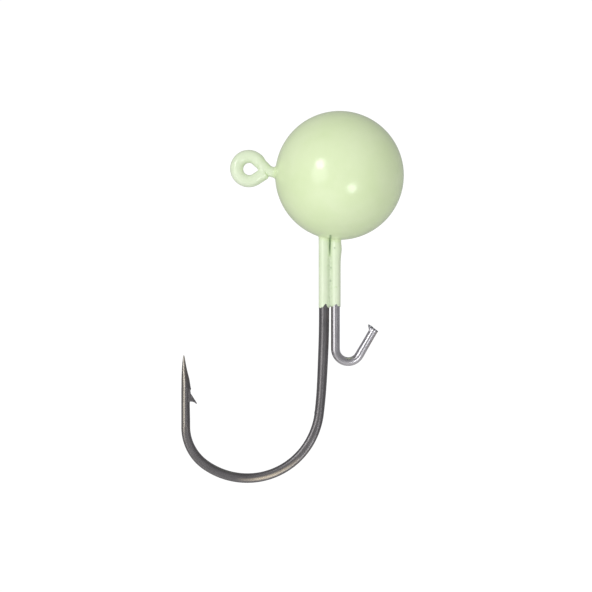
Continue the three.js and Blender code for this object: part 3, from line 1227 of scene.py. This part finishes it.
LEFT = (-0.569, -0.773, 0.281)
RIGHT = (0.345, -0.835, -0.429)
LEVEL_LEFT = (-0.60, -0.80, 0.0)

# Round lamps that face the ball: name, direction, distance, radius in degrees as seen from the
# ball, radiance, colour, and whether shiny surfaces mirror them.
LAMPS = [
    ("lamp_left", LEFT, 0.5, 8.0, 7.5, (0.96, 0.98, 1.0), True),
    ("lamp_right", RIGHT, 0.5, 7.5, 6.0, (0.94, 0.97, 1.0), True),
    ("panel_left", LEVEL_LEFT, 0.6, 15.0, 1.8, (1.0, 0.99, 0.97), True),
    ("fill_left", LEFT, 0.7, 30.0, 0.55, (1.0, 1.0, 1.0), False),
    ("panel_right", RIGHT, 0.7, 18.0, 0.30, (1.0, 1.0, 1.0), True),
    ("fill_right", RIGHT, 0.8, 30.0, 0.36, (1.0, 1.0, 0.98), False),
]


def make_floor():
    material, tree, shader = new_material("studio_floor")
    tone = noise(tree, object_coordinates(tree), *FLOOR_TONE)
    colour = ramp(tree, tone, [(0.0, FLOOR_DARK), (1.0, FLOOR_LIGHT)])
    tree.links.new(colour, shader.inputs["Base Color"])
    shader.inputs["Roughness"].default_value = FLOOR_ROUGHNESS
    mesh = bpy.data.meshes.new("floor")
    size = FLOOR_HALF_SIZE
    corners = [(-size, -size, 0), (size, -size, 0), (size, size, 0), (-size, size, 0)]
    mesh.from_pydata(corners, [], [(0, 1, 2, 3)])
    mesh.materials.append(material)
    floor = bpy.data.objects.new("floor", mesh)
    floor.location = (0, 0, CAD_BOX[0][2] - FLOOR_DEPTH)
    bpy.context.scene.collection.objects.link(floor)


def background(tree, colour=None, strength=1.0):
    node = tree.nodes.new("ShaderNodeBackground")
    node.inputs["Color"].default_value = (1.0, 1.0, 1.0, 1.0)
    node.inputs["Strength"].default_value = strength
    if colour is not None:
        tree.links.new(colour, node.inputs["Color"])
    return node.outputs["Background"]


def shader_mix(tree, share, one, other):
    node = tree.nodes.new("ShaderNodeMixShader")
    tree.links.new(share, node.inputs["Fac"])
    tree.links.new(one, node.inputs[1])
    tree.links.new(other, node.inputs[2])
    return node.outputs["Shader"]


def make_world():
    world = bpy.data.worlds.new("studio")
    world.use_nodes = True
    bpy.context.scene.world = world
    tree = world.node_tree
    tree.nodes.clear()
    output = tree.nodes.new("ShaderNodeOutputWorld")
    place = tree.nodes.new("ShaderNodeTexCoord").outputs["Generated"]
    back = remap(tree, split_vector(tree, place)["Y"], -1.0, 1.0)
    ray = tree.nodes.new("ShaderNodeLightPath").outputs
    soft = background(tree, ramp(tree, back, SOFT_SURROUND))
    mirrored = background(tree, ramp(tree, back, MIRRORED_SURROUND))
    white = background(tree, strength=BACKDROP_STRENGTH)
    lit = shader_mix(tree, ray["Is Glossy Ray"], soft, mirrored)
    whole = shader_mix(tree, ray["Is Camera Ray"], lit, white)
    tree.links.new(whole, output.inputs["Surface"])


def make_lamp(name, direction, distance, spread, radiance, colour, mirrored):
    radius = distance * math.tan(rad(spread))
    lamp = bpy.data.lights.new(name, "AREA")
    lamp.shape = "DISK"
    lamp.size = 2 * radius
    lamp.energy = radiance * math.pi**2 * radius**2
    lamp.color = colour
    holder = bpy.data.objects.new(name, lamp)
    towards = np.array(direction, float) / np.linalg.norm(direction)
    holder.location = BALL_CENTRE * MM + towards * distance
    holder.rotation_mode = "QUATERNION"
    holder.rotation_quaternion = Vector(towards).to_track_quat("Z", "Y")
    holder.visible_camera = False
    holder.visible_glossy = mirrored
    bpy.context.scene.collection.objects.link(holder)


def make_camera():
    camera = bpy.data.cameras.new("camera")
    camera.lens = LENS
    camera.sensor_width = SENSOR
    camera.clip_start, camera.clip_end = CLIP
    holder = bpy.data.objects.new("camera", camera)
    low, high = np.array(CAD_BOX[0]), np.array(CAD_BOX[1])
    middle = (low + high) / 2
    distance = VIEW_WIDTH * LENS / SENSOR
    holder.location = (middle[0] + FRAMING[0], -distance, middle[2] + FRAMING[1])
    holder.rotation_euler = (math.pi / 2, 0.0, 0.0)
    bpy.context.scene.collection.objects.link(holder)
    bpy.context.scene.camera = holder


make_floor()
make_world()
for values in LAMPS:
    make_lamp(*values)
make_camera()
bpy.context.scene.view_settings.view_transform = "Standard"
